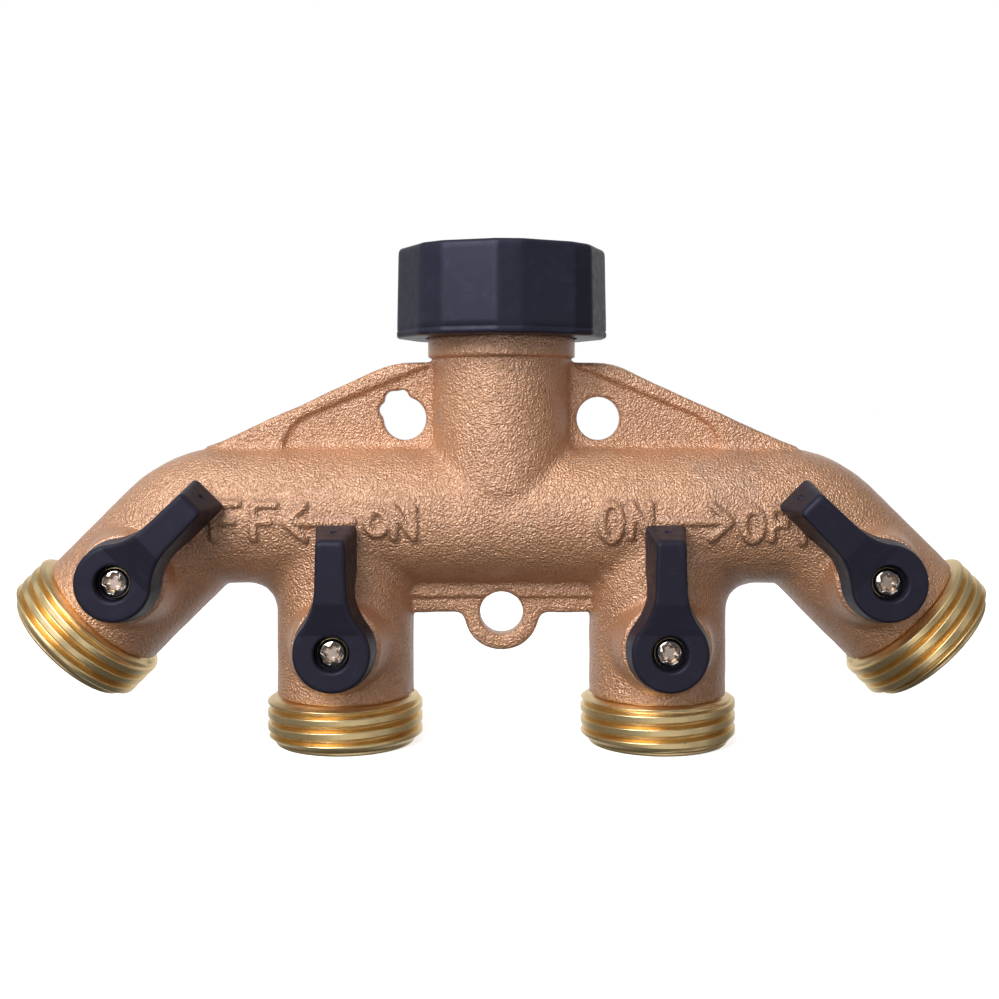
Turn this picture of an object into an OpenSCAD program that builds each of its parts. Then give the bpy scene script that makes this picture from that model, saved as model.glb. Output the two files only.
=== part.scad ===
// Four-way hose splitter: a cast manifold with a swivelling inlet nut and four threaded
// outlets, each with its own quarter-turn ball valve and lever.
// +X runs along the manifold, -Y faces the levers, +Z points up the inlet.
// The origin is on the inlet's axis, in the middle of the nut's thread.
// Every valve is shown open, with its lever in line with its outlet.

/* [Pipes] */
// Outside diameter of the manifold and of the outlets
pipe_d = 23.6; // [22:0.1:25]
// Distance from the inlet's axis to each inner outlet's axis
inner_x = 27.3; // [26:0.05:29]
// Distance from the inlet's axis to the point where an outer outlet turns off the manifold
corner_x = 52.9; // [52.5:0.1:56]
// Angle between an outer outlet and straight down
outer_angle = 45; // [40:1:50]
// Radius of the bend's centre line
bend_r = 13.3; // [13:0.1:14.5]
// Distance from the manifold's axis to an inner outlet's stem
inner_stem_drop = 21.05; // [21:0.05:24]
// Distance from the turning point to an outer outlet's stem
outer_stem_run = 13.65; // [13.2:0.05:18]
// Distance from a stem to the end face of its pipe
stem_to_seam = 10; // [10:0.1:11]
// Diameter of the passage along the manifold
manifold_bore_d = 16; // [13.5:0.5:16.5]
// Diameter of the passage from the manifold to each valve
branch_bore_d = 13; // [11:0.5:13.5]

/* [Inlet] */
// Outside diameter of the neck
neck_d = 23.7; // [23:0.1:25]
// Height of the neck above the manifold's axis
neck_h = 27.4; // [27.2:0.1:28.5]
// Outside diameter of the turned collar on the neck
collar_d = 25.7; // [25:0.1:26]
// Height of the collar's top above the manifold's axis
collar_top = 31.1; // [30.5:0.1:31.1]
// Height of the nut's lower face above the manifold's axis
nut_bottom = 30.8; // [30.7:0.1:30.9]
// Height of the nut
nut_h = 15.5; // [15.4:0.1:16]
// Distance across the small flats that cut off the nut's corners
nut_corner_flats = 36.55; // [36:0.05:38]
// Distance across the nut's flats
nut_flats = 35.5; // [34:0.1:36]
// Inside radius of the nut's thread crests
nut_thread_minor_r = 12.25; // [12.2:0.01:12.3]
// Radius of the tailpiece's flange
flange_r = 11.9; // [11.5:0.1:12]

/* [Outlet threads] */
// Outside radius of the thread crests
thread_major_r = 13.43; // [13.3:0.01:13.5]
// Radius at the bottom of the thread
thread_root_r = 12.2; // [12.1:0.01:12.3]
// Distance from one crest to the next
thread_pitch = 2.209; // [2.2:0.001:2.22]
// Number of crests on each outlet
thread_turns = 4; // [3:1:4]
// Length of the thread beyond the pipe's end face
thread_len = 8.4; // [8.4:0.1:9.5]
// Radius of the bore at the outlet's mouth
mouth_r = 8.5; // [7:0.1:9.5]

/* [Valves] */
// Radius of the ball
ball_r = 8; // [7.9:0.05:8.1]
// Radius of the port through the ball
port_r = 4.8; // [4:0.1:4.9]
// Radius of the cavity that holds the ball
cavity_r = 9.4; // [9.3:0.05:9.6]
// Radius of the stem where it turns in the casting
stem_r = 3.6; // [3.4:0.05:3.8]
// Radius of the boss at its front face
boss_r = 7.4; // [7:0.1:7.6]
// Distance from the pipes' axes to the boss's front face
boss_face = 14.5; // [14.3:0.1:14.6]

/* [Levers] */
// Distance from the pipes' axes to the hub's front face
hub_face = 19.9; // [19.7:0.1:20.5]
// Radius of the hub at its front face
hub_r = 6.25; // [6:0.05:6.6]
// Radius of the hub at its back face
hub_back_r = 7; // [6.8:0.05:7.2]
// Width of the handle at its front face
handle_w = 4.67; // [4:0.01:5.5]
// Width of the handle at its back edge
handle_back_w = 7; // [6:0.1:7.5]
// Distance from the stem to the front edge of the handle's tip
handle_len = 18.4; // [16:0.1:19]

/* [Webs] */
// Thickness of the webs between the pipes
web_t = 4.8; // [4:0.1:6]
// Height of the upper webs' top edge above the manifold's axis
web_top = 26.6; // [25:0.1:27]
// Diameter of the three mounting holes
hole_d = 7.5; // [6:0.1:8]
// Distance from the axes to each mounting hole, along X and along Z
hole_offset = 16.9; // [16.5:0.1:17.5]

/* [Hidden] */
$fn = 96;
pipe_r = pipe_d / 2;
// The inlet's thread is centred on the origin, this far above the manifold's axis
crest_half = 0.22;
thread_flank = (thread_major_r - thread_root_r) * tan(30);
nut_first_crest = 38.95;
seat_h = nut_first_crest + 1.5 * thread_pitch;
// The bend starts and ends this far from the turning point
bend_run = bend_r * tan(outer_angle / 2);
bend_lap = 0.8;
bend_fullness = 0.06;
outer_seam_run = outer_stem_run + stem_to_seam;

// Tailpiece, washer and nut, as heights above the manifold's axis
spud_r = 9.57;
spud_bore_r = 7.5;
spud_seat = 22;
spud_fit = 0.03;
flange_bottom = 34.5;
flange_top = 36.1;
washer_top = 38.5;
washer_r = 12.6;
lip_bottom = 31.4;
lip_top = 34.2;
lip_r = 9.9;
skirt_r = 13.3;
chamber_r = 13;
nut_root_r = 13.65;
nut_mouth_r = 13.2;
nut_turn = 4.5;
nut_top = nut_bottom + nut_h;

// Seats: their distance from the ball's centre, and the play round the ball
seat_back = 8.6;
seat_front = 4.6;
seat_r = 7.6;
seat_bore_r = 5.2;
seat_play = 0.3;
pocket_r = 7.65;
pocket_mouth = 6;
spigot_end = 5;
spigot_r = 9.35;
throat_r = 5.6;
throat_end = 10.6;
mouth_chamfer = 0.5;

// Stem, as distances forward of the pipes' axes
slot_floor = 5.9;
slot_w = 3.1;
tang_end = 6.1;
tang_w = 3;
tang_l = 7;
stem_flange_r = 4.8;
stem_flange_back = 8.4;
stem_flange_front = 10.3;
counterbore_r = 5.1;
counterbore_floor = 10.6;
bore_play = 0.05;
groove_back = 12;
groove_front = 13.5;
groove_r = 2.5;
seal_section_r = 0.55;
stem_shoulder = 15;
stem_end = 17.5;
drive_r = 2.4;
drive_flats = 3.6;
drive_play = 0.05;

// Lever and its screw, as distances forward of the pipes' axes or up from the stem
hub_back = 15;
recess_floor = 17.6;
recess_r = 2.95;
handle_front = 21.4;
handle_back = 12.5;
ramp_start = 3;
ramp_end = 8.2;
tip_slant = 1.9;
heel = 8.5;
heel_end = 12.5;
neck_fillet = 11.5;
disc_r = 2.7;
disc_t = 0.5;
head_r = 2.4;
head_h = 1.2;
cross_w = 1.2;
cross_span = 3.5;
cross_depth = 0.9;
screw_r = 1.2;
screw_hole_r = 1.25;
screw_end = 13;
screw_hole_end = 12.5;

// Webs
web_flat = 18.8;
web_outer = 51.2;
web_outer_h = 11.8;
panel_depth = 0.8;
panel_neck = 12.6;
panel_neck_h = 26.2;
panel_end = 38.5;
panel_end_h = 15.6;
lower_web_drop = 16.9;
lug_r = 6.5;
band_drop = 14.1;
band_rise = 0.7;
boss_draft = 3.2;

COPPER = [0.76, 0.55, 0.4];
BRASS = [0.84, 0.7, 0.4];
BLACK = [0.14, 0.14, 0.17];
STEEL = [0.75, 0.75, 0.74];
CHROME = [0.85, 0.86, 0.88];
SEAT = [0.94, 0.94, 0.9];
RUBBER = [0.08, 0.08, 0.08];

// Each outlet: name, X and Z of its stem, and the turn that leans it outwards
outer_stem_x = corner_x + outer_stem_run * sin(outer_angle);
outer_stem_z = -outer_stem_run * cos(outer_angle);
OUTER_LEFT = ["outer_left", -outer_stem_x, outer_stem_z, outer_angle];
INNER_LEFT = ["inner_left", -inner_x, -inner_stem_drop, 0];
INNER_RIGHT = ["inner_right", inner_x, -inner_stem_drop, 0];
OUTER_RIGHT = ["outer_right", outer_stem_x, outer_stem_z, -outer_angle];
OUTLETS = [OUTER_LEFT, INNER_LEFT, INNER_RIGHT, OUTER_RIGHT];
VALVE_PIECES = ["thread_end", "upstream_seat", "downstream_seat", "ball", "stem",
                "stem_seal", "lever", "lever_washer", "lever_screw"];

// ---- Frames and shared shapes ----

// Puts the manifold's axis the right distance below the origin
module from_manifold() {
    translate([0, 0, -seat_h]) children();
}

// A valve's own frame: origin on its stem, +Z from the outlet's mouth towards the manifold
module at_valve(outlet) {
    from_manifold() valve_frame(outlet) children();
}

module valve_frame(outlet) {
    translate([outlet[1], 0, outlet[2]]) rotate([0, outlet[3], 0]) children();
}

// A round bar along the stem's axis, from one distance forward of the pipe's axis to another
module forward_bar(r, from, to, r_to = undef) {
    translate([0, -from, 0]) rotate([90, 0, 0])
        cylinder(h = to - from, r1 = r, r2 = is_undef(r_to) ? r : r_to);
}

// The round bar cut to two flats that drives the lever
module drive(play, from, to) {
    intersection() {
        forward_bar(drive_r + play, from, to);
        translate([-drive_r * 2, -to, -drive_flats / 2 - play])
            cube([drive_r * 4, to - from, drive_flats + 2 * play]);
    }
}

// ---- Casting ----

// The manifold and the bends at its two ends. The straight pipes run a little way into the
// bends, which are slightly fuller, so that the joints between them are clean.
module manifold_run(r, bend_section_r) {
    straight = corner_x - bend_run;
    translate([-straight - bend_lap, 0, 0]) rotate([0, 90, 0])
        cylinder(h = 2 * (straight + bend_lap), r = r);
    for (side = [0, 1]) mirror([side, 0, 0])
        translate([straight, 0, -bend_r]) rotate([90, 0, 0]) rotate([0, 0, 90 - outer_angle])
            rotate_extrude(angle = outer_angle) translate([bend_r, 0])
                circle(r = bend_section_r + bend_fullness);
}

module pipes() {
    outer_leg = outer_seam_run - bend_run + bend_lap;
    manifold_run(pipe_r, pipe_r);
    for (o = [OUTER_LEFT, OUTER_RIGHT]) valve_frame(o)
        translate([0, 0, -stem_to_seam]) cylinder(h = outer_leg, r = pipe_r);
    for (o = [INNER_LEFT, INNER_RIGHT]) valve_frame(o)
        translate([0, 0, -stem_to_seam]) cylinder(h = stem_to_seam + inner_stem_drop, r = pipe_r);
    cylinder(h = neck_h, d = neck_d);
    translate([0, 0, neck_h]) cylinder(h = collar_top - neck_h, d = collar_d);
}

module bosses() {
    for (o = OUTLETS) valve_frame(o) forward_bar(boss_r + boss_draft, 0, boss_face, boss_r);
}

// A flat plate in the XZ plane, centred on Y = 0
module plate(t) {
    rotate([90, 0, 0]) translate([0, 0, -t / 2]) linear_extrude(height = t) children();
}

module upper_web() {
    plate(web_t) polygon([[0, 0], [0, web_top], [web_flat, web_top],
                          [web_outer, web_outer_h], [web_outer, 0]]);
}

// The recess from the neck to the web's sloping border, down to the manifold
module upper_panel() {
    depth_y = web_t / 2 - panel_depth;
    for (face = [0, 1]) mirror([0, face, 0])
        translate([0, -depth_y, 0]) rotate([90, 0, 0]) linear_extrude(height = panel_depth + 1)
            polygon([[0, 0], [0, panel_neck_h], [panel_neck, panel_neck_h],
                     [panel_end, panel_end_h], [panel_end, 0]]);
}

module lower_web() {
    plate(web_t) {
        translate([-inner_x, -lower_web_drop]) square([2 * inner_x, lower_web_drop]);
        translate([0, -hole_offset]) circle(r = lug_r);
    }
}

// The raised band between the manifold and the lower web's hole
module lower_band() {
    plate(web_t + 2 * band_rise) difference() {
        translate([-inner_x, -band_drop]) square([2 * inner_x, band_drop]);
        translate([0, -hole_offset]) circle(r = lug_r);
    }
}

module mounting_holes() {
    for (p = [[-hole_offset, hole_offset], [hole_offset, hole_offset], [0, -hole_offset]])
        translate([p[0], 0, p[1]]) rotate([90, 0, 0])
            cylinder(h = web_t + 2, d = hole_d, center = true);
}

// The room for one valve and the passage that feeds it
module valve_room(outlet) {
    feed = outlet[3] == 0 ? inner_stem_drop : outer_stem_run - bend_run + bend_lap;
    valve_frame(outlet) {
        translate([0, 0, -stem_to_seam - 1]) cylinder(h = stem_to_seam + 1 + pocket_mouth, r = cavity_r);
        cylinder(h = seat_back, r = pocket_r);
        cylinder(h = feed, d = branch_bore_d);
        forward_bar(counterbore_r, 0, counterbore_floor);
        forward_bar(stem_r + bore_play, 0, boss_face + 1);
    }
}

module passages() {
    manifold_run(manifold_bore_d / 2, branch_bore_d / 2);
    cylinder(h = collar_top + 1, d = manifold_bore_d);
    translate([0, 0, spud_seat]) cylinder(h = collar_top, r = spud_r + spud_fit);
    for (o = OUTLETS) valve_room(o);
}

module body_casting() {
    color(COPPER) from_manifold() difference() {
        union() {
            for (side = [0, 1]) mirror([side, 0, 0]) difference() {
                upper_web();
                upper_panel();
            }
            lower_web();
            lower_band();
            pipes();
            bosses();
        }
        passages();
        mounting_holes();
    }
}

// ---- Inlet ----

module inlet_tailpiece() {
    color(BRASS) from_manifold() difference() {
        union() {
            translate([0, 0, spud_seat]) cylinder(h = flange_bottom - spud_seat, r = spud_r);
            translate([0, 0, flange_bottom]) cylinder(h = flange_top - flange_bottom, r = flange_r);
        }
        translate([0, 0, spud_seat - 1]) cylinder(h = flange_top, r = spud_bore_r);
    }
}

module inlet_washer() {
    color(RUBBER) from_manifold() translate([0, 0, flange_top]) difference() {
        cylinder(h = washer_top - flange_top, r = washer_r);
        translate([0, 0, -1]) cylinder(h = washer_top, r = spud_bore_r);
    }
}

// The nut's inside: skirt, swivel lip, washer chamber, thread crests and mouth
module nut_inside() {
    crest = nut_thread_minor_r;
    flank = (nut_root_r - crest) * tan(30);
    rotate_extrude() polygon(concat(
        [[0, nut_bottom - 1], [skirt_r, nut_bottom - 1], [skirt_r, lip_bottom],
         [lip_r, lip_bottom], [lip_r, lip_top], [chamber_r, lip_top],
         [chamber_r, nut_first_crest - crest_half - (chamber_r - crest) * tan(30)]],
        [for (k = [0 : 3], p = [[crest, -crest_half], [crest, crest_half],
                                [nut_root_r, crest_half + flank],
                                [nut_root_r, thread_pitch - crest_half - flank]])
            if (k < 3 || p[1] <= crest_half) [p[0], nut_first_crest + k * thread_pitch + p[1]]],
        [[nut_mouth_r, nut_top], [nut_mouth_r, nut_top + 1], [0, nut_top + 1]]));
}

module coupling_nut() {
    color(BLACK) from_manifold() difference() {
        translate([0, 0, nut_bottom]) intersection() {
            rotate([0, 0, nut_turn + 22.5])
                cylinder(h = nut_h, d = nut_corner_flats / cos(180 / 8), $fn = 8);
            rotate([0, 0, nut_turn]) cylinder(h = nut_h, d = nut_flats / cos(180 / 8), $fn = 8);
        }
        nut_inside();
    }
}

// ---- Valves ----

// Brass end of an outlet: spigot, seat pocket, throat, mouth and thread
module thread_end(outlet) {
    first = stem_to_seam + 1.15;
    end = stem_to_seam + thread_len;
    color(BRASS) at_valve(outlet) rotate_extrude() polygon(concat(
        [[pocket_r, -spigot_end], [spigot_r, -spigot_end], [spigot_r, -stem_to_seam],
         [thread_root_r, -stem_to_seam]],
        [for (k = [0 : thread_turns - 1], p = [[thread_root_r, crest_half + thread_flank],
                                               [thread_major_r, crest_half],
                                               [thread_major_r, -crest_half],
                                               [thread_root_r, -crest_half - thread_flank]])
            if (k < thread_turns - 1 || p[1] > -crest_half - 0.01)
                [p[0], p[1] - first - k * thread_pitch]],
        [[thread_root_r + 0.1, -end], [mouth_r + mouth_chamfer, -end],
         [mouth_r, -end + mouth_chamfer], [mouth_r, -throat_end], [throat_r, -throat_end],
         [throat_r, -seat_back], [pocket_r, -seat_back]]));
}

// A ring that seals on the ball; side is 1 upstream of the ball and -1 downstream
module seat(outlet, side) {
    color(SEAT) at_valve(outlet) difference() {
        mirror([0, 0, side > 0 ? 0 : 1]) translate([0, 0, seat_front])
            cylinder(h = seat_back - seat_front, r = seat_r);
        cylinder(h = 4 * ball_r, r = seat_bore_r, center = true);
        sphere(r = ball_r + seat_play);
    }
}

module ball(outlet) {
    color(CHROME) at_valve(outlet) difference() {
        sphere(r = ball_r);
        cylinder(h = 3 * ball_r, r = port_r, center = true);
        translate([-ball_r, -ball_r - 1, -slot_w / 2]) cube([2 * ball_r, ball_r + 1 - slot_floor, slot_w]);
    }
}

module stem(outlet) {
    color(BRASS) at_valve(outlet) difference() {
        union() {
            translate([-tang_l / 2, -stem_flange_back - 0.5, -tang_w / 2])
                cube([tang_l, stem_flange_back + 0.5 - tang_end, tang_w]);
            forward_bar(stem_flange_r, stem_flange_back, stem_flange_front);
            difference() {
                forward_bar(stem_r, stem_flange_back, stem_shoulder);
                difference() {
                    forward_bar(stem_r + 1, groove_back, groove_front);
                    forward_bar(groove_r, groove_back - 1, groove_front + 1);
                }
            }
            drive(0, stem_shoulder - 1, stem_end);
        }
        forward_bar(screw_hole_r, screw_hole_end, stem_end + 1);
    }
}

module stem_seal(outlet) {
    color(RUBBER) at_valve(outlet)
        translate([0, -(groove_back + groove_front) / 2, 0]) rotate([90, 0, 0])
            rotate_extrude() translate([groove_r + seal_section_r, 0]) circle(r = seal_section_r, $fn = 32);
}

// ---- Levers ----

// The waist between the hub and the handle, hollowed by two arcs that meet both smoothly
module waist() {
    side = handle_w / 2 + neck_fillet;
    rise = sqrt(pow(hub_r + neck_fillet, 2) - pow(side, 2));
    touch = hub_r / (hub_r + neck_fillet);
    difference() {
        polygon([[0, 0], [side * touch, rise * touch], [handle_w / 2, rise],
                 [-handle_w / 2, rise], [-side * touch, rise * touch]]);
        for (s = [-1, 1]) translate([s * side, rise]) circle(r = neck_fillet);
    }
}

module handle() {
    intersection() {
        // side view: hub flat, ramp, front face, slanted tip, back edge and heel
        rotate([90, 0, 90]) translate([0, 0, -hub_back_r]) linear_extrude(height = 2 * hub_back_r)
            polygon([[-hub_back, 0], [-hub_face, 0], [-hub_face, ramp_start],
                     [-handle_front, ramp_end], [-handle_front, handle_len],
                     [-handle_back, handle_len + tip_slant], [-handle_back, heel_end],
                     [-hub_back, heel]]);
        // section: wide at the back, narrow at the front
        linear_extrude(height = handle_len + tip_slant + 1)
            polygon([[-handle_back_w / 2, -handle_back], [handle_back_w / 2, -handle_back],
                     [handle_w / 2, -handle_front], [-handle_w / 2, -handle_front]]);
    }
}

module lever(outlet) {
    color(BLACK) at_valve(outlet) difference() {
        union() {
            forward_bar(hub_back_r, hub_back, hub_face, hub_r);
            translate([0, -hub_back, 0]) rotate([90, 0, 0])
                linear_extrude(height = hub_face - hub_back) waist();
            handle();
        }
        forward_bar(recess_r, recess_floor, handle_front + 1);
        drive(drive_play, hub_back - 1, recess_floor + 1);
    }
}

module lever_washer(outlet) {
    color(BRASS) at_valve(outlet) difference() {
        forward_bar(disc_r, recess_floor, recess_floor + disc_t);
        forward_bar(screw_hole_r, recess_floor - 1, recess_floor + disc_t + 1);
    }
}

module lever_screw(outlet) {
    under_head = recess_floor + disc_t;
    head_top = under_head + head_h;
    color(STEEL) at_valve(outlet) difference() {
        union() {
            forward_bar(screw_r, screw_end, under_head + 0.1);
            forward_bar(head_r, under_head, head_top, head_r * 0.86);
        }
        for (turn = [0, 90]) rotate([0, turn, 0])
            translate([-cross_span / 2, -head_top - 1, -cross_w / 2])
                cube([cross_span, cross_depth + 1, cross_w]);
    }
}

// ---- Assembly ----

body_casting();
inlet_tailpiece();
inlet_washer();
coupling_nut();
for (o = OUTLETS) {
    thread_end(o);
    seat(o, 1);
    seat(o, -1);
    ball(o);
    stem(o);
    stem_seal(o);
    lever(o);
    lever_washer(o);
    lever_screw(o);
}
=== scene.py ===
"""Looks for the garden hose splitter.

Shapes are worked out in millimetres in the manifold's frame (X along the manifold, -Y towards
the levers, Z up, origin where the inlet's axis crosses the manifold's) or in a valve's own
frame (origin on its stem, Z from the outlet's mouth to the manifold), and turned into metres in
the CAD frame when a mesh is made. Cast and moulded shapes are distance fields, so that fillets
and draft come out soft; turned shapes are swept profiles.
"""
import math

import bpy
import numpy as np
import openvdb
from mathutils import Matrix


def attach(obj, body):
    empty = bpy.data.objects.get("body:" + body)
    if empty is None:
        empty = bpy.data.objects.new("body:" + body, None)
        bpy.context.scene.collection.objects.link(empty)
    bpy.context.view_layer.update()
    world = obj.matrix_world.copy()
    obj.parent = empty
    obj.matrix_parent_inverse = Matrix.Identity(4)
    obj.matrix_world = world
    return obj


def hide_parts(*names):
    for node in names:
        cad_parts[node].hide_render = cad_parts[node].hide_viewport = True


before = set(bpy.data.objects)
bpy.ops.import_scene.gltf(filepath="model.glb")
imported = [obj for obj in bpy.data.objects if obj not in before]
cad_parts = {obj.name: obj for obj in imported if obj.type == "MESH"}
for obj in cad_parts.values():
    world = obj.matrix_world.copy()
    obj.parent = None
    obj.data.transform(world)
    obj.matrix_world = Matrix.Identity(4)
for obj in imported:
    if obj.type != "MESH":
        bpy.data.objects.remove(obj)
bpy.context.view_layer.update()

# ---- Dimensions, in millimetres ----

MM = 0.001
PITCH = 2.209
SEAT_H = 38.95 + 1.5 * PITCH          # the CAD origin's height above the manifold's axis
PIPE_R = 11.8
INNER_X = 27.3
CORNER_X = 52.9
OUTER_ANGLE = math.radians(45)
SIN, COS = math.sin(OUTER_ANGLE), math.cos(OUTER_ANGLE)
BEND_R = 13.3
BEND_RUN = BEND_R * math.tan(OUTER_ANGLE / 2)
INNER_STEM_DROP = 21.05
OUTER_STEM_RUN = 13.65
SEAM = 10.0                           # from a stem to its pipe's end face
OUTER_X, OUTER_Z = CORNER_X + OUTER_STEM_RUN * SIN, -OUTER_STEM_RUN * COS
# Each outlet: X and Z of its stem, its lean about +Y in degrees, where its thread starts
OUTLETS = {
    "outer_left": (-OUTER_X, OUTER_Z, 45, 0.6),
    "inner_left": (-INNER_X, -INNER_STEM_DROP, 0, 0.9),
    "inner_right": (INNER_X, -INNER_STEM_DROP, 0, 0.3),
    "outer_right": (OUTER_X, OUTER_Z, -45, 1.7),
}

# ---- Distance fields ----


def soft_min(a, b, k):
    """The smaller of two distances, with a fillet where they meet."""
    h = np.maximum(k - np.abs(a - b), 0) / k
    return np.minimum(a, b) - h * h * k / 4


def soft_max(a, b, k):
    return -soft_min(-a, -b, k)


def smooth_step(x, lo, hi):
    t = np.clip((x - lo) / (hi - lo), 0, 1)
    return t * t * (3 - 2 * t)


def box_axes(lo, hi, step):
    """Three axes that cover a box in steps, shaped to broadcast together."""
    x, y, z = [np.arange(a, b + step, step, dtype=np.float32) for a, b in zip(lo, hi)]
    return x[:, None, None], y[None, :, None], z[None, None, :]


def spline_weights(count, step, spacing, nodes):
    """Cubic B-spline weights that spread a lattice's nodes over an axis."""
    at = np.arange(count) * step / spacing + 1
    base = np.floor(at).astype(int)
    f = at - base
    shares = ((1 - f) ** 3 / 6, (3 * f ** 3 - 6 * f ** 2 + 4) / 6,
              (-3 * f ** 3 + 3 * f ** 2 + 3 * f + 1) / 6, f ** 3 / 6)
    weights = np.zeros((count, nodes), np.float32)
    for k, share in enumerate(shares):
        weights[np.arange(count), base - 1 + k] = share
    return weights


def lattice_noise(axes, step, spacing, seed):
    """Smooth seeded noise over a grid, mostly within -1 to 1, with lumps `spacing` apart."""
    counts = [a.size for a in axes]
    nodes = [int(c * step / spacing) + 5 for c in counts]
    values = np.random.default_rng(seed).standard_normal(nodes).astype(np.float32)
    for axis, (count, node_count) in enumerate(zip(counts, nodes)):
        weights = spline_weights(count, step, spacing, node_count)
        values = np.moveaxis(np.tensordot(weights, values, axes=(1, axis)), 0, axis)
    return values / values.std() * 0.5


def mesh_from_arrays(name, points, faces):
    """A smooth closed mesh, in metres, from points in millimetres and four-sided faces."""
    mesh = bpy.data.meshes.new(name)
    size = faces.shape[1]
    # faces look outwards when the volume inside them adds up to more than nothing
    a, b, c, d = (points[faces[:, k]] for k in range(4))
    if (np.cross(c - a, d - b) * (a + b + c + d)).sum() < 0:
        faces = faces[:, ::-1]
    mesh.vertices.add(len(points))
    mesh.vertices.foreach_set("co", (np.asarray(points) * MM).astype(np.float32).ravel())
    mesh.loops.add(len(faces) * size)
    mesh.loops.foreach_set("vertex_index", faces.astype(np.int32).ravel())
    mesh.polygons.add(len(faces))
    mesh.polygons.foreach_set("loop_start", np.arange(len(faces), dtype=np.int32) * size)
    mesh.update(calc_edges=True)
    mesh.polygons.foreach_set("use_smooth", np.ones(len(faces), bool))
    return mesh


def evened(points, faces, passes=2):
    """Points with the grid's small steps smoothed away, and no shrinkage."""
    around = np.bincount(faces.ravel(), minlength=len(points)) * 2
    for share in (0.5, -0.52) * passes:
        total = np.zeros_like(points)
        for k in range(4):
            a, b = faces[:, k], faces[:, k - 1]
            for axis in range(3):
                total[:, axis] += np.bincount(a, points[b, axis], len(points))
                total[:, axis] += np.bincount(b, points[a, axis], len(points))
        points = points + share * (total / around[:, None] - points)
    return points


def mesh_from_field(name, field, axes, step):
    """The surface where a distance field is zero."""
    grid = openvdb.FloatGrid(3 * step)
    band = np.clip(field, -3 * step, 3 * step)
    grid.copyFromArray(np.ascontiguousarray(band, np.float32))
    points, quads = grid.convertToQuads(0.0)
    origin = np.array([a.ravel()[0] for a in axes])
    return mesh_from_arrays(name, evened(points * step + origin, quads), quads)


def place(name, mesh, body, nodes, matrix):
    """Shows a mesh as a piece that rides on a body and stands for CAD nodes."""
    piece = bpy.data.objects.new(name, mesh)
    bpy.context.scene.collection.objects.link(piece)
    piece.matrix_world = matrix
    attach(piece, body)
    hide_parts(*nodes)
    return piece


def manifold_frame():
    return Matrix.Translation((0, 0, -SEAT_H * MM))


def valve_frame(outlet):
    x, z, lean, _ = OUTLETS[outlet]
    return (manifold_frame() @ Matrix.Translation((x * MM, 0, z * MM))
            @ Matrix.Rotation(math.radians(lean), 4, "Y"))


# ---- Casting ----

NECK_R, NECK_H = 11.85, 27.4
COLLAR_R, COLLAR_TOP = 12.85, 31.1
BOSS_R, BOSS_FACE, BOSS_DRAFT = 7.4, 14.5, 3.2
WEB_HALF, PANEL_HALF = 2.4, 1.55
WEB_TOP, WEB_FLAT, WEB_SLOPE = 26.6, 18.8, math.atan2(14.8, 32.4)
PANEL_NECK, PANEL_NECK_H = 12.65, 26.2
PANEL_END, PANEL_SLOPE = 38.2, math.atan2(10.6, 25.9)
WEB_END = 51.2
HOLE_R, HOLE_AT, LUG_R = 3.75, 16.9, 6.5
LOWER_WEB, BAND_DROP, BAND_RISE = 16.9, 14.1, 0.7
LETTER_HALF, LETTER_RISE = 0.56, 0.62


def slanted(x, z, x0, z0, angle):
    """Distance above a line that falls outwards from a point at an angle."""
    return (x - x0) * math.sin(angle) + (z - z0) * math.cos(angle)


def letter(kind, left, right, low, high):
    """A plain letter's strokes, each a chain of X, Z points."""
    mid = (low + high) / 2
    if kind == "O":
        x, z, w, h = (left + right) / 2, mid, (right - left) / 2, (high - low) / 2
        turns = [math.tau * k / 16 for k in range(17)]
        return [[(x + w * math.cos(t), z + h * math.sin(t)) for t in turns]]
    if kind == "N":
        return [[(left, low), (left, high), (right, low), (right, high)]]
    return [[(left, low), (left, high), (right, high)], [(left, mid), (right - 0.9, mid)]]


def arrow(tail, tip, z):
    """A shaft and a wide open head."""
    back = math.copysign(3.1, tail - tip)
    return [[(tail, z), (tip, z)],
            [(tip + back, z + 2.7), (tip, z), (tip + back, z - 2.9)]]


def lettering():
    """OFF < ON on the left and ON > OFF on the right: which way each pair of levers turns."""
    strokes = letter("O", -53.6, -50.0, -3.0, 2.6) + letter("F", -48.0, -43.9, -3.1, 2.7)
    strokes += letter("F", -41.3, -37.8, -3.1, 2.5) + arrow(-24.8, -35.9, -0.4)
    strokes += letter("O", -22.3, -19.2, -2.5, 1.5) + letter("N", -17.9, -14.6, -3.0, 1.9)
    strokes += letter("O", 16.8, 20.0, -3.6, 2.6) + letter("N", 21.7, 24.8, -3.0, 2.6)
    strokes += arrow(26.8, 38.3, -0.3)
    strokes += letter("O", 40.4, 43.6, -3.5, 1.6) + letter("F", 45.1, 48.3, -3.3, 1.8)
    return strokes + letter("F", 50.3, 53.3, -3.8, 1.2)


def stroke_distance(x, z, strokes):
    """Distance in the XZ plane to the nearest stroke."""
    near = np.full(np.broadcast(x, z).shape, 99, np.float32)
    for chain in strokes:
        for (x0, z0), (x1, z1) in zip(chain, chain[1:]):
            run_x, run_z = x1 - x0, z1 - z0
            t = ((x - x0) * run_x + (z - z0) * run_z) / (run_x ** 2 + run_z ** 2)
            t = np.clip(t, 0, 1)
            near = np.minimum(near, np.hypot(x - x0 - t * run_x, z - z0 - t * run_z))
    return near


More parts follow.
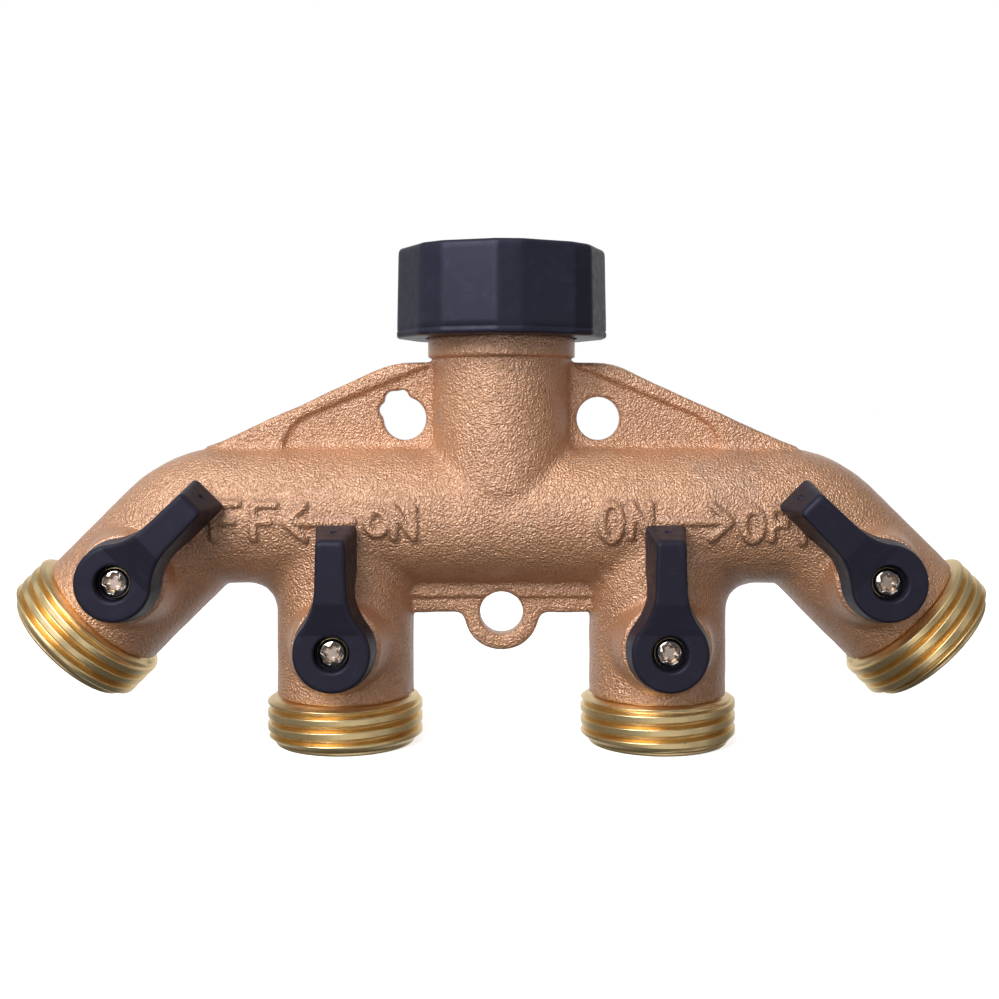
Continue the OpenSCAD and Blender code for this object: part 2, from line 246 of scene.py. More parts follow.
def casting_parts(x, y, z):
    """The casting's outer shape as it leaves the mould: its pipes, then with everything."""
    side = np.abs(x)
    straight = CORNER_X - BEND_RUN
    # the run's centre line, in the XZ plane: straight, arc, then leg
    out, up = side - straight, z + BEND_R
    turn = np.clip(np.arctan2(out, up), 0, OUTER_ANGLE)
    reach = np.where(side < straight, np.abs(z), np.abs(np.hypot(out, up) - BEND_R))
    along = (side - CORNER_X) * SIN - z * COS
    beyond = (side >= straight) & (out * COS > up * SIN)
    reach = np.where(beyond, np.abs((side - CORNER_X) * COS + z * SIN), reach)
    run = np.hypot(reach, y) - PIPE_R
    inner = np.hypot(side - INNER_X, y) - PIPE_R + np.maximum(z, 0)
    # the neck draws in a little where it runs into the manifold
    neck = np.hypot(x, y) - NECK_R + 0.25 * np.maximum(5 - z, 0) + np.maximum(-z, 0)
    # fillets fade out where the pipes' surfaces run into each other at the front and back
    flatness = np.abs(y) / PIPE_R
    k = 3.2 * np.clip(1.05 - flatness, 0.25, 1)
    pipes = soft_min(run, inner, k * (1.2 + 0.55 * smooth_step(side, INNER_X, INNER_X + 6)))
    pipes = soft_min(pipes, neck, k)
    return pipes, along, side


def casting_field(axes, step):
    x, y, z = axes
    pipes, along, side = casting_parts(x, y, z)

    lumps = lattice_noise(axes, step, 3.4, 5)
    grain = lattice_noise(axes, step, 1.15, 11)
    # raised words on the front of the manifold, a little uneven
    near = stroke_distance(x[:, 0, :], z[:, 0, :], lettering())[:, None, :]
    near = near + 0.08 * grain
    rise = LETTER_RISE * (1 - smooth_step(near, LETTER_HALF - 0.25, LETTER_HALF + 0.3))
    pipes = pipes - rise * smooth_step(-y, 6, 8)
    # no higher than lets a lever's handle swing over them
    pipes = soft_max(pipes, -y - 12.25, 0.2)

    # upper webs, thinner inside a sloping border
    top = soft_max(z - WEB_TOP, slanted(side, z, WEB_FLAT, WEB_TOP, WEB_SLOPE), 1.2)
    top = np.maximum(top, side - WEB_END)
    inside = soft_max(slanted(side, z, PANEL_NECK, PANEL_NECK_H, PANEL_SLOPE),
                      side - PANEL_END, 5)
    half = WEB_HALF - (WEB_HALF - PANEL_HALF) * smooth_step(-inside, -0.25, 0.45)
    upper = soft_max(soft_max(top, np.abs(y) - half, 1.0), -z, 1.0)
    # lower web: a raised band under the manifold, and a lug round its hole
    lug = np.hypot(x, z + HOLE_AT) - LUG_R
    half = WEB_HALF + BAND_RISE * smooth_step(z + BAND_DROP, -0.2, 0.2)
    sheet = soft_min(soft_max(-z - LOWER_WEB, side - INNER_X, 0.5), lug, 1.8)
    lower = soft_max(soft_max(sheet, np.abs(y) - half, 1.0), z, 1.0)
    body = soft_min(soft_min(pipes, upper, 1.3), lower, 0.7)

    # bosses
    for x0, z0, _, _ in OUTLETS.values():
        r = np.hypot(x - x0, z - z0)
        boss = soft_max(r - BOSS_R - BOSS_DRAFT * (1 + np.maximum(y, -BOSS_FACE) / BOSS_FACE),
                        np.maximum(-y - BOSS_FACE, y), 0.7)
        body = soft_min(body, boss, 1.0)

    # the mould's skin, with its lumps and the seam where its halves met
    skin = 0.07 * lumps + 0.03 * grain
    body = body + skin * smooth_step(-z, -NECK_H, -NECK_H + 1)
    body = body - 0.16 * np.exp(-(y / 0.35) ** 2)

    # turned collar, above the rough neck
    collar = soft_max(np.hypot(x, y) - COLLAR_R, np.abs(z - (NECK_H + COLLAR_TOP) / 2)
                      - (COLLAR_TOP - NECK_H) / 2, 0.4)
    body = np.minimum(soft_max(body, z - NECK_H - 1, 0.3), collar)
    # faces cut square where the brass ends meet them
    body = soft_max(body, along - OUTER_STEM_RUN - SEAM, 0.3)
    body = soft_max(body, np.where(side < CORNER_X - 8, -z - INNER_STEM_DROP - SEAM, -99), 0.3)

    # mounting holes; the left one's rim is dented at its upper left
    for x0, z0 in ((-HOLE_AT, HOLE_AT), (HOLE_AT, HOLE_AT), (0, -HOLE_AT)):
        body = soft_max(body, HOLE_R - np.hypot(x - x0, z - z0), 0.7)
    for x0, z0, r in ((-18.9, 20.2, 1.5), (-20.2, 18.4, 1.2), (-17.3, 20.9, 1.0)):
        body = soft_max(body, r - np.hypot(x - x0, z - z0), 0.7)
    return body


def hollow(body, axes):
    """Cuts the waterways, the valves' rooms and the stems' bores."""
    x, y, z = axes
    side = np.abs(x)
    straight = CORNER_X - BEND_RUN
    cut = np.maximum(np.hypot(y, z) - 8.0, side - straight)
    cut = np.minimum(cut, np.maximum(np.hypot(x, y) - 8.0, -z))
    cut = np.minimum(cut, np.maximum(np.hypot(x, y) - 9.75, 21.8 - z))
    out, up = side - straight, z + BEND_R
    arc = np.hypot(np.hypot(out, up) - BEND_R, y) - 6.5
    cut = np.minimum(cut, np.maximum(arc, np.maximum(-out, out * COS - up * SIN)))
    for across, along in ((side - INNER_X, -z - INNER_STEM_DROP),
                          ((side - CORNER_X) * COS + z * SIN,
                           (side - CORNER_X) * SIN - z * COS - OUTER_STEM_RUN)):
        r = np.hypot(across, y)
        room = np.maximum(r - 9.6, -6 - along)
        feed = np.maximum(r - 6.5, np.abs(along + 10) - 10)
        pocket = np.maximum(r - 7.8, np.abs(along + 4.4) - 4.4)
        here = along > -0.9 * OUTER_STEM_RUN
        cut = np.minimum(cut, np.where(here, np.minimum(room, np.minimum(feed, pocket)), 99))
        stem = np.hypot(across, along)
        bore = np.minimum(np.maximum(stem - 3.75, y),
                          np.maximum(stem - 5.2, np.maximum(y, -y - 10.8)))
        cut = np.minimum(cut, bore)
    return np.maximum(body, -cut)


def machined_mask(points):
    """1 where the casting has been turned or bored, 0 where it is rough."""
    x, y, z = points.T
    side = np.abs(x)
    collar = 0.35 * smooth_step(z, NECK_H - 0.25, NECK_H + 0.05)
    mask = collar
    for across, along in ((side - INNER_X, -z - INNER_STEM_DROP),
                          ((side - CORNER_X) * COS + z * SIN,
                           (side - CORNER_X) * SIN - z * COS - OUTER_STEM_RUN)):
        mask = np.maximum(mask, smooth_step(along, SEAM - 0.12, SEAM - 0.02))
        inner = (np.hypot(across, y) < 10) & (along > -6)
        mask = np.maximum(mask, inner)
        boss_r = BOSS_R + BOSS_DRAFT * (1 + y / BOSS_FACE)
        near_boss = 1 - smooth_step(np.hypot(across, along) - boss_r, 0.25, 0.7)
        mask = np.maximum(mask, 0.3 * near_boss * smooth_step(-y, 7.0, 8.5))
    return mask


def letter_foot_shade_mask(points):
    """1 along the foot of the raised letters, where the casting is painted darker as painted
    shade.
    """
    x, y, z = points.T
    mask = np.zeros(len(points), np.float32)
    front = (y < -6) & (np.abs(z) < 5)
    near = stroke_distance(x[front], z[front], lettering())
    mask[front] = np.exp(-((near - LETTER_HALF - 0.2) / 0.3) ** 2)
    return mask


def build_casting():
    step = 0.34
    axes = box_axes((-79, -15.4, -31.9), (79, 12.7, 32.7), step)
    field = hollow(casting_field(axes, step), axes)
    mesh = mesh_from_field("splitter_casting", field, axes, step)
    points = np.empty(len(mesh.vertices) * 3, np.float32)
    mesh.vertices.foreach_get("co", points)
    points = points.reshape(-1, 3) / MM
    for name, mask in (("machined", machined_mask(points)), ("letter_foot_shade", letter_foot_shade_mask(points))):
        layer = mesh.attributes.new(name, "FLOAT", "POINT")
        layer.data.foreach_set("value", mask.astype(np.float32))
    return place("splitter_casting", mesh, "splitter", ["body_casting"],
                 manifold_frame())


# ---- Turned shapes ----


def turned(name, rows, around=128):
    """A closed ring swept round Z. rows are (radii at each angle or one radius, heights)."""
    angles = np.arange(around) * math.tau / around
    points = []
    for radius, height in rows:
        r = np.broadcast_to(np.asarray(radius, float), angles.shape)
        h = np.broadcast_to(np.asarray(height, float), angles.shape)
        points.append(np.stack([r * np.cos(angles), r * np.sin(angles), h], 1))
    points = np.concatenate(points)
    n, k = len(rows), np.arange(around)
    quads = []
    for row in range(n):
        a, b = row * around, (row + 1) % n * around
        quads.append(np.stack([a + k, a + (k + 1) % around, b + (k + 1) % around, b + k], 1))
    return mesh_from_arrays(name, points, np.concatenate(quads))


def rounded(corners, radius=0.15, bits=3, closed=True):
    """A profile with each corner cut into a small arc; an open one keeps its two ends."""
    corners = np.asarray(corners, float)
    result = []
    for k, p in enumerate(corners):
        if not closed and k in (0, len(corners) - 1):
            result.append(p)
            continue
        before, after = corners[k - 1] - p, corners[(k + 1) % len(corners)] - p
        cut = min(radius, np.linalg.norm(before) * 0.45, np.linalg.norm(after) * 0.45)
        a = p + before / np.linalg.norm(before) * cut
        b = p + after / np.linalg.norm(after) * cut
        for t in np.linspace(0, 1, bits + 1):
            result.append((1 - t) ** 2 * a + 2 * t * (1 - t) * p + t * t * b)
    return [tuple(q) for q in result]


# ---- Brass outlet ends, with a real right-hand thread ----

THREAD_R, ROOT_R, THREAD_LEN = 13.43, 12.2, 8.4


def thread_radius(angle, s, start):
    """Outside radius of an outlet end at a distance s past the seam."""
    phase = (s - start) / PITCH + (angle - math.pi) / math.tau
    off = PITCH * np.abs(phase - np.round(phase))
    crest = ROOT_R + (THREAD_R - ROOT_R) * smooth_step(-off, -1.09, -0.48)
    # the first turn runs out into a flared land, and the last into a plain pilot
    land = np.where(s < 0.95, np.minimum(11.95 + 1.25 * s, 12.75), 12.75 - 1.7 * (s - 0.95))
    lead_in = np.where(s < 0.32, 10.6, 12.05 + 1.55 * s)
    lead_out = np.where(s < 7.75, 12.05 + 1.35 * (7.75 - s), 12.05)
    pilot = 12.0
    r = np.minimum(np.maximum(crest, land), np.minimum(lead_in, lead_out))
    return np.where(s > 7.2, np.minimum(np.maximum(r, pilot), lead_out), r)


def build_thread_end(outlet):
    around = 144
    angles = np.arange(around) * math.tau / around
    start = OUTLETS[outlet][3]
    rows = rounded([(5.6, -8.6), (7.65, -8.6), (7.65, -5.0), (9.35, -5.0), (9.35, -9.98)],
                   0.2, closed=False)
    for s in np.linspace(0.0, THREAD_LEN - 0.25, 92):
        rows.append((thread_radius(angles, s, start), -SEAM - s))
    end = -SEAM - THREAD_LEN
    rows += rounded([(11.93, end + 0.12), (11.75, end), (9.0, end), (8.5, end + 0.5),
                     (8.5, -10.6), (5.6, -10.6), (5.6, -8.7)], 0.12, closed=False)
    mesh = turned(outlet + "_outlet_end", rows, around)
    return place(outlet + "_outlet_end", mesh, "splitter", [outlet + "_thread_end"],
                 valve_frame(outlet))


# ---- Inlet ----

NUT_BOTTOM, NUT_TOP = 30.8, 46.3


def nut_outline(angle):
    """Eight broad flats whose corners are cut off by narrow ones."""
    sector = math.tau / 8
    turned_by = angle - math.radians(4.5)
    flat = 17.75 / np.cos(turned_by % sector - sector / 2)
    cut = 18.28 / np.cos((turned_by + sector / 2) % sector - sector / 2)
    return soft_min(flat, cut, 0.25)


def build_nut():
    around = 288
    angles = np.arange(around) * math.tau / around
    outline = nut_outline(angles)
    low, high = NUT_BOTTOM, NUT_TOP
    rows = []
    # outside, from the band at the foot to the rounded rim
    for inset, z in ((1.0, low), (0.35, low + 0.05), (0.08, low + 0.22), (0.0, low + 0.5),
                     (0.0, low + 1.0), (0.16, low + 1.12), (0.16, low + 1.28),
                     (0.06, low + 1.42), (0.06, low + 2.4), (0.12, low + 6),
                     (0.2, low + 10), (0.26, high - 1.5), (0.3, high - 0.8),
                     (0.42, high - 0.4), (0.68, high - 0.12), (1.05, high)):
        rows.append((outline - inset, z))
    rows.append((14.4, high))
    rows += [(13.75, high - 0.12), (13.35, high - 0.45)]
    # the tap's thread, cut right-handed, down to the washer's room
    for z in np.linspace(high - 0.6, 37.9, 64):
        phase = (z - 38.95) / PITCH - angles / math.tau
        off = PITCH * np.abs(phase - np.round(phase))
        tooth = np.clip((0.95 - off) / 0.75, 0, 1)
        fade = smooth_step(z, 38.0, 38.8) * (1 - smooth_step(z, high - 1.3, high - 0.7))
        rows.append((13.6 - 1.35 * tooth * fade, z))
    rows += rounded([(13.0, 37.6), (13.0, 34.2), (9.9, 34.2), (9.9, 31.4), (13.3, 31.4),
                     (13.3, low), (14.0, low)], 0.18, closed=False)
    mesh = turned("inlet_nut", rows, around)
    return place("inlet_nut", mesh, "nut", ["coupling_nut"], manifold_frame())


def build_tailpiece():
    rows = rounded([(9.57, 22.0), (9.57, 34.5), (11.9, 34.5), (11.9, 36.1), (7.5, 36.1),
                    (7.5, 22.0)], 0.25)
    mesh = turned("tailpiece_tube", rows)
    return place("tailpiece_tube", mesh, "splitter", ["inlet_tailpiece"],
                 manifold_frame())


def build_inlet_washer():
    rows = rounded([(12.6, 36.1), (12.6, 38.5), (7.5, 38.5), (7.5, 36.1)], 0.4, 5)
    mesh = turned("hose_washer", rows)
    return place("hose_washer", mesh, "splitter", ["inlet_washer"], manifold_frame())


# ---- Levers, their discs and screws ----

HUB_BACK, HUB_FACE, HUB_BACK_R, HUB_R = 15.0, 19.9, 7.0, 6.25
HANDLE_FRONT, HANDLE_BACK, HEEL, HEEL_END = 21.4, 12.5, 8.5, 12.5
HANDLE_W, HANDLE_BACK_W, HANDLE_SPREAD = 4.6, 6.9, 0.06
HANDLE_LEN, TIP_SLANT, WAIST_R = 18.4, 1.9, 11.5
RAMP_START, RAMP_END = 3.0, 8.4
RECESS_R, RECESS_FLOOR = 2.95, 17.6


def lever_mesh():
    step = 0.19
    axes = box_axes((-7.6, -22.0, -7.6), (7.6, -11.9, 20.9), step)
    x, y, z = axes
    side = np.abs(x)
    r = np.hypot(x, z)
    # outline seen from the front, wider towards the back by the mould's draft
    hub = HUB_R + (HUB_BACK_R - HUB_R) * (y + HUB_FACE) / (HUB_FACE - HUB_BACK)
    hub = np.minimum(hub, HUB_BACK_R)
    front_w = HANDLE_W + HANDLE_SPREAD * (HANDLE_LEN - np.clip(z, HEEL, HANDLE_LEN))
    half = front_w / 2 + ((HANDLE_BACK_W - front_w) / 2 * (y + HANDLE_FRONT)
                          / (HANDLE_FRONT - HANDLE_BACK))
    arm_x = half + WAIST_R
    arm_z = np.sqrt((hub + WAIST_R) ** 2 - arm_x ** 2)
    waist = np.maximum(WAIST_R - np.hypot(side - arm_x, z - arm_z),
                       np.maximum((side * arm_z - z * arm_x) / (hub + WAIST_R), z - arm_z))
    outline = np.minimum(np.minimum(r - hub, waist), np.maximum(side - half, -z))
    # front: the hub's flat, a ramp and the handle's long face; back: the hub's, then the heel
    rise = (HANDLE_FRONT - HUB_FACE) * np.clip((z - RAMP_START) / (RAMP_END - RAMP_START), 0, 1)
    front = -y - HUB_FACE - rise
    back = y + HUB_BACK - ((HUB_BACK - HANDLE_BACK)
                           * np.clip((z - HEEL) / (HEEL_END - HEEL), 0, 1))
    lean = math.atan2(TIP_SLANT, HANDLE_FRONT - HANDLE_BACK)
    tip = (z - HANDLE_LEN) * math.cos(lean) - (y + HANDLE_FRONT) * math.sin(lean)
    body = soft_max(outline, front, 0.6)
    body = soft_max(body, tip, 0.95)
    body = soft_max(body, back, 0.5)
    # recess for the screw, hole for the stem, and the gate's dimple on the tip
    body = soft_max(body, np.minimum(RECESS_R - r, -y - RECESS_FLOOR), 0.35)
    body = np.maximum(body, -np.maximum(r - 2.5, np.abs(z) - 1.9))
    gate_y, gate_z = -16.6, HANDLE_LEN + TIP_SLANT * 0.54
    mark = np.sqrt(x ** 2 + (y - gate_y) ** 2 + (z - gate_z) ** 2)
    body = soft_max(body, 0.5 - mark, 0.15)
    body = body + 0.012 * lattice_noise(axes, step, 2.4, 3)
    return mesh_from_field("lever", body, axes, step)


def disc_mesh():
    """A flat brass disc with rounded edges; its axis is Z here, and Y once placed."""
    return turned("screw_disc", rounded([(2.52, 17.6), (2.52, 18.1), (1.25, 18.1), (1.25, 17.6)],
                                        0.12), 64)


def screw_mesh():
    """A domed head with a tapering cross recess, on a plain shank."""
    step = 0.07
    axes = box_axes((-2.7, -19.9, -2.7), (2.7, -12.8, 2.7), step)
    x, y, z = axes
    r = np.hypot(x, z)
    up = -y - 18.1
    crown = np.sqrt(r ** 2 + (up + 3.1) ** 2) - 4.25
    head = soft_max(soft_max(r - 2.4, crown, 0.25), -up, 0.12)
    shank = np.maximum(np.maximum(r - 1.2, up - 0.2), -up - 5.0)
    body = np.minimum(head, shank)
    # each wing of the cross narrows and shortens with depth
    depth = np.clip(1.2 - up, 0, 1.3)
    wing = 0.72 - 0.22 * depth
    reach = 1.95 - 0.55 * depth
    a, b = np.abs(x), np.abs(z)
    cross = np.minimum(soft_max(a - wing, b - reach, 0.3), soft_max(b - wing, a - reach, 0.3))
    core = r - 1.2 + 0.45 * depth
    cross = soft_max(soft_min(cross, core, 0.3), -(up - 0.02), 0.15)
    body = soft_max(body, -cross, 0.12)
    return mesh_from_field("lever_screw", body, axes, step)


def build_levers():
    lever, disc, screw = lever_mesh(), disc_mesh(), screw_mesh()
    to_stem = Matrix.Rotation(math.radians(90), 4, "X")
    turns = {"outer_left": 60, "inner_left": 28, "inner_right": 62, "outer_right": 15}
    pieces = {"lever": [], "disc": [], "screw": []}
    for outlet, turn in turns.items():
        at, body = valve_frame(outlet), outlet + "_valve"
        spin = Matrix.Rotation(math.radians(turn), 4, "Y")
        pieces["lever"].append(place(outlet + "_handle", lever, body, [outlet + "_lever"],
                                     at))
        pieces["disc"].append(place(outlet + "_disc", disc, body, [outlet + "_lever_washer"],
                                    at @ to_stem))
        pieces["screw"].append(place(outlet + "_screw", screw, body, [outlet + "_lever_screw"],
                                     at @ spin))
    return pieces


# ---- Materials: all of them work from the object's own coordinates, in metres ----


class Look:
    """A material with a Principled shader, and short ways to wire it up."""

    def __init__(self, name, color, metallic, roughness, **more):
        self.material = bpy.data.materials.new(name)
        self.material.use_nodes = True
        self.tree = self.material.node_tree
        self.shader = self.tree.nodes["Principled BSDF"]
        for socket, value in {"Base Color": (*color, 1), "Metallic": metallic,
                              "Roughness": roughness, **more}.items():
            self.shader.inputs[socket].default_value = value
        self.coords = self.node("ShaderNodeTexCoord").outputs["Object"]

    def node(self, kind, inputs=(), **settings):
        made = self.tree.nodes.new(kind)
        for key, value in settings.items():
            setattr(made, key, value)
        for socket, value in dict(inputs).items():
            if isinstance(value, bpy.types.NodeSocket):
                self.tree.links.new(value, made.inputs[socket])
            else:
                made.inputs[socket].default_value = value
        return made

    def noise(self, scale, detail=2.0, rough=0.5, stretch=(1, 1, 1), distortion=0.0):
        at = self.node("ShaderNodeMapping", {"Vector": self.coords, "Scale": stretch})
        made = self.node("ShaderNodeTexNoise",
                         {"Vector": at.outputs[0], "Scale": scale, "Detail": detail,
                          "Roughness": rough, "Distortion": distortion})
        return made.outputs["Fac"]

    def ramp(self, value, lo, hi, out_lo=0.0, out_hi=1.0):
        return self.node("ShaderNodeMapRange", {"Value": value, "From Min": lo, "From Max": hi,
                                                "To Min": out_lo, "To Max": out_hi}).outputs[0]

    def math(self, operation, a, b=0.0, c=0.0):
        return self.node("ShaderNodeMath", {0: a, 1: b, 2: c}, operation=operation).outputs[0]

    def mix(self, factor, a, b):
        a, b = [(*c, 1) if isinstance(c, tuple) else c for c in (a, b)]
        made = self.node("ShaderNodeMixRGB", {"Fac": factor, "Color1": a, "Color2": b})
        return made.outputs["Color"]

    def bump(self, height, distance, strength=1.0, under=None):
        inputs = {"Height": height, "Distance": distance, "Strength": strength}
        if under is not None:
            inputs["Normal"] = under
        return self.node("ShaderNodeBump", inputs).outputs["Normal"]

    def wire(self, **sockets):
        names = {"color": "Base Color", "roughness": "Roughness", "normal": "Normal"}
        for key, value in sockets.items():
            self.tree.links.new(value, self.shader.inputs[names[key]])
        return self.material


def copper_casting():
    look = Look("copper_casting", (0.60, 0.28, 0.12), 0.5, 0.5,
                **{"Coat Weight": 1.0, "Coat Roughness": 0.37, "Coat IOR": 2.05})
    machined = look.node("ShaderNodeAttribute", attribute_name="machined").outputs["Fac"]
    edges = look.node("ShaderNodeAttribute", attribute_name="letter_foot_shade").outputs["Fac"]
    rough = look.math("SUBTRACT", 1.0, machined)
    tone = look.ramp(look.noise(90, 3, 0.6), 0.35, 0.65)
    grain = look.ramp(look.noise(1900, 3, 0.6), 0.40, 0.64)
    pits = look.ramp(look.noise(1250, 3, 0.65), 0.59, 0.69)
    stain = look.ramp(look.noise(38, 4, 0.62, distortion=0.4), 0.60, 0.74)
    color = look.mix(tone, (0.53, 0.235, 0.098), (0.63, 0.30, 0.135))
    color = look.mix(look.math("MULTIPLY", grain, 0.3), color, (0.76, 0.43, 0.24))
    color = look.mix(look.math("MULTIPLY", look.math("MULTIPLY", pits, rough), 0.6), color,
                     (0.20, 0.085, 0.035))
    color = look.mix(look.math("MULTIPLY", look.math("MULTIPLY", stain, rough), 0.35), color,
                     (0.30, 0.21, 0.16))
    # painted shade: the casting is darkened along the foot of the raised letters
    color = look.mix(look.math("MULTIPLY", edges, 0.5), color, (0.20, 0.085, 0.04))
    roughness = look.math("ADD", look.ramp(look.noise(420, 3), 0.3, 0.7, 0.44, 0.56),
                          look.math("MULTIPLY", machined, -0.04))
    pebbles = look.noise(2700, 1.5, 0.5)
    waves = look.noise(800, 2.5, 0.55, distortion=0.15)
    height = look.math("MULTIPLY_ADD", waves, 0.4, pebbles)
    strength = look.math("MULTIPLY_ADD", rough, 0.92, 0.08)
    normal = look.bump(height, 0.00044, strength)
    look.tree.links.new(normal, look.shader.inputs["Coat Normal"])
    return look.wire(color=color, roughness=roughness, normal=normal)


def turned_brass(name, tarnish=0.35):
    """Painted paler where it stands out, such as a thread's crests, as a painted highlight, and
    golden further in.
    """
    look = Look(name, (0.78, 0.59, 0.33), 1.0, 0.25)
    split = look.node("ShaderNodeSeparateXYZ", {"Vector": look.coords}).outputs
    out = look.math("SQRT", look.math("ADD", look.math("MULTIPLY", split["X"], split["X"]),
                                      look.math("MULTIPLY", split["Y"], split["Y"])))
    crest_highlight = look.ramp(out, 0.0127, 0.0132)
    rings = look.noise(1.0, 3, 0.6, stretch=(60, 60, 5200))
    drift = look.ramp(look.noise(260, 3, 0.6), 0.38, 0.66)
    specks = look.ramp(look.noise(1400, 3, 0.7), 0.60, 0.70)
    color = look.mix(drift, (0.88, 0.68, 0.38), (0.78, 0.56, 0.27))
    # painted highlight: the crests, picked out by their radius, are mixed toward a paler gold
    color = look.mix(look.math("MULTIPLY", crest_highlight, 0.7), color, (0.90, 0.69, 0.36))
    color = look.mix(look.math("MULTIPLY", specks, tarnish), color, (0.30, 0.17, 0.07))
    roughness = look.ramp(rings, 0.3, 0.7, 0.30, 0.40)
    return look.wire(color=color, roughness=roughness, normal=look.bump(rings, 0.00001, 0.5))


def moulded_black(name, tint=(0.017, 0.016, 0.026), shine=0.22):
    look = Look(name, tint, 0.0, 0.4, **{"Specular IOR Level": shine,
                                         "Specular Tint": (0.72, 0.72, 1.0, 1)})
    scuffs = look.ramp(look.noise(240, 5, 0.7, distortion=1.0), 0.52, 0.75)
    color = look.mix(look.math("MULTIPLY", scuffs, 0.5), tint,
                     tuple(2.1 * c for c in tint))
    roughness = look.ramp(look.noise(700, 4, 0.6), 0.3, 0.7, 0.34, 0.48)
    grain = look.noise(6500, 2, 0.5)
    waves = look.noise(300, 2, 0.5)
    normal = look.bump(grain, 0.000018, 0.6, under=look.bump(waves, 0.00008, 0.35))
    return look.wire(color=color, roughness=roughness, normal=normal)


def bright_steel():
    look = Look("screw_steel", (0.34, 0.32, 0.30), 1.0, 0.1)
    depth = look.node("ShaderNodeSeparateXYZ", {"Vector": look.coords}).outputs["Y"]
    socket = look.ramp(depth, -0.0186, -0.0183)
    smudge = look.ramp(look.noise(900, 3, 0.6), 0.35, 0.7, 0.07, 0.16)
    color = look.mix(look.ramp(look.noise(1500, 2), 0.4, 0.65), (0.36, 0.34, 0.32),
                     (0.25, 0.23, 0.21))
    # painted reflection: the deep part of the cross recess, and the head's foot, are painted a
    # lighter warm grey-brown than the head
    color = look.mix(socket, color, (0.62, 0.50, 0.43))
    roughness = look.math("MULTIPLY_ADD", socket, 0.3, smudge)
    return look.wire(color=color, roughness=roughness,
                     normal=look.bump(look.noise(5000, 2), 0.000004, 0.4))


def chromed_ball():
    look = Look("ball_chrome", (0.82, 0.83, 0.85), 1.0, 0.06)
    smudge = look.ramp(look.noise(300, 4, 0.6), 0.4, 0.7, 0.03, 0.14)
    color = look.mix(look.ramp(look.noise(200, 3), 0.45, 0.7), (0.84, 0.85, 0.87),
                     (0.74, 0.76, 0.78))
    return look.wire(color=color, roughness=smudge)


def white_ptfe():
    look = Look("seat_ptfe", (0.86, 0.86, 0.83), 0.0, 0.35)
    color = look.mix(look.ramp(look.noise(500, 4, 0.6), 0.35, 0.7), (0.88, 0.88, 0.85),
                     (0.78, 0.77, 0.73))
    return look.wire(color=color, normal=look.bump(look.noise(3500, 2), 0.00001, 0.5))


def soft_rubber():
    look = Look("seal_rubber", (0.02, 0.02, 0.02), 0.0, 0.65)
    color = look.mix(look.ramp(look.noise(900, 4, 0.7), 0.4, 0.7), (0.016, 0.016, 0.017),
                     (0.05, 0.049, 0.047))
    return look.wire(color=color, normal=look.bump(look.noise(4200, 3), 0.00002, 0.7))


def coat(pieces, material):
    for piece in pieces:
        piece.data.materials.clear()
        piece.data.materials.append(material)


# ---- Building and dressing the object ----

thread_ends = [build_thread_end(outlet) for outlet in OUTLETS]
levers = build_levers()
coat([build_casting()], copper_casting())
coat(thread_ends + levers["disc"] + [build_tailpiece()], turned_brass("turned_brass"))
coat([levers["lever"][0]], moulded_black("lever_plastic"))
coat([build_nut()], moulded_black("nut_plastic", (0.018, 0.018, 0.031), 0.27))
coat([levers["screw"][0]], bright_steel())
coat([build_inlet_washer()], soft_rubber())

cad_looks = {"ball": chromed_ball(), "seat": white_ptfe(), "stem": turned_brass("stem_brass"),
             "stem_seal": soft_rubber()}
for name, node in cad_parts.items():
    for ending, material in cad_looks.items():
        if name.endswith("_" + ending):
            for slot in node.material_slots:
                slot.material = material

# ---- Floor, light and camera ----


def build_floor():
    """A pale floor under the inner outlets, which the object stands on."""
    half, z = 6.0, -(INNER_STEM_DROP + SEAM + THREAD_LEN + SEAT_H) * MM
    mesh = bpy.data.meshes.new("floor")
    mesh.from_pydata([(-half, -half, z), (half, -half, z), (half, half, z), (-half, half, z)],
                     [], [(0, 1, 2, 3)])
    floor = bpy.data.objects.new("floor", mesh)
    bpy.context.scene.collection.objects.link(floor)
    look = Look("floor_paper", (0.93, 0.93, 0.93), 0.0, 0.9)
    look.shader.inputs["Emission Color"].default_value = (1, 1, 1, 1)
    look.shader.inputs["Emission Strength"].default_value = 0.72
    mesh.materials.append(look.wire(normal=look.bump(look.noise(800, 2), 0.00002, 0.2)))
    floor.visible_glossy = floor.visible_diffuse = False


def soft_box(name, azimuth, elevation, distance, width, height, watts, aim=(0, 0, -0.04)):
    """A rectangular lamp facing the object. Azimuth 0 is in front, positive to the right."""
    a, e = math.radians(azimuth), math.radians(elevation)
    lamp = bpy.data.lights.new(name, "AREA")
    lamp.shape, lamp.size, lamp.size_y, lamp.energy = "RECTANGLE", width, height, watts
    box = bpy.data.objects.new(name, lamp)
    bpy.context.scene.collection.objects.link(box)
    back = Matrix.Rotation(a, 4, "Z") @ Matrix.Rotation(math.radians(90) - e, 4, "X")
    box.matrix_world = (Matrix.Translation(aim) @ back
                        @ Matrix.Translation((0, 0, distance)))


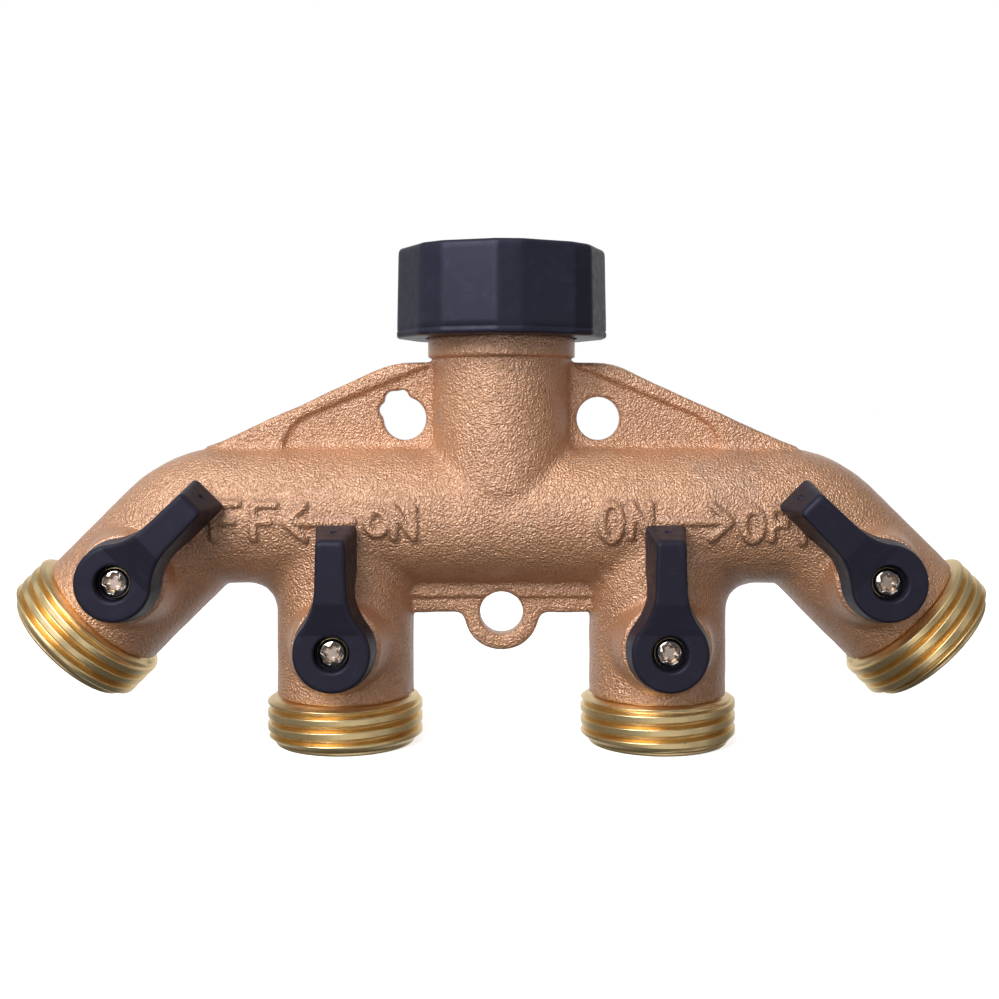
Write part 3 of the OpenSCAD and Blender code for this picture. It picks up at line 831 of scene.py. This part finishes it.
def build_world():
    """White behind and overhead, dim in front and below; plain white where it is seen."""
    world = bpy.data.worlds.new("studio")
    bpy.context.scene.world = world
    world.use_nodes = True
    tree = world.node_tree
    tree.nodes.clear()

    def node(kind, inputs, **settings):
        made = tree.nodes.new(kind)
        for key, value in settings.items():
            setattr(made, key, value)
        for socket, value in inputs.items():
            if isinstance(value, bpy.types.NodeSocket):
                tree.links.new(value, made.inputs[socket])
            else:
                made.inputs[socket].default_value = value
        return made

    way = node("ShaderNodeTexCoord", {}).outputs["Generated"]
    split = node("ShaderNodeSeparateXYZ", {"Vector": way})
    behind = node("ShaderNodeMapRange", {"Value": split.outputs["Y"], "From Min": 0.45,
                                         "From Max": 0.97, "To Min": 0.0, "To Max": 1.0})
    above = node("ShaderNodeMapRange", {"Value": split.outputs["Z"], "From Min": -1.0,
                                        "From Max": 0.9, "To Min": 0.08, "To Max": 0.28})
    level = node("ShaderNodeMath", {0: behind.outputs[0], 1: above.outputs[0]},
                 operation="MAXIMUM").outputs[0]
    light = node("ShaderNodeBackground", {"Color": (1, 1, 1, 1), "Strength": level})
    white = node("ShaderNodeBackground", {"Color": (1, 1, 1, 1), "Strength": 1.0})
    seen = node("ShaderNodeLightPath", {}).outputs["Is Camera Ray"]
    pick = node("ShaderNodeMixShader", {0: seen, 1: light.outputs[0], 2: white.outputs[0]})
    node("ShaderNodeOutputWorld", {"Surface": pick.outputs[0]})


def build_camera():
    """Level, at the photo's distance: sightlines meet the object's middle from just above."""
    lens = bpy.data.cameras.new("camera")
    lens.sensor_width = 36.0
    lens.lens = 48.29
    lens.shift_x, lens.shift_y = -0.0085, -0.0846
    lens.clip_start, lens.clip_end = 0.01, 20
    camera = bpy.data.objects.new("camera", lens)
    bpy.context.scene.collection.objects.link(camera)
    camera.location = (1.14 * MM, -235 * MM, (17.5 - SEAT_H) * MM)
    camera.rotation_euler = (math.radians(90), 0, 0)
    bpy.context.scene.camera = camera


build_floor()
build_world()
build_camera()
soft_box("overhead", -12, 70, 0.55, 0.45, 0.35, 0.35)
soft_box("left_front", -31, 36, 0.60, 0.40, 0.38, 3.7)
soft_box("left_low", -24, 8, 0.60, 0.20, 0.20, 0.5)
soft_box("left_side", -98, 12, 0.60, 0.30, 0.45, 0.2)
soft_box("right_front", 60, 0, 0.65, 0.24, 0.34, 0.2)
soft_box("low_fill", 14, -26, 0.60, 0.60, 0.16, 0.4)
bpy.context.scene.view_settings.view_transform = "Standard"
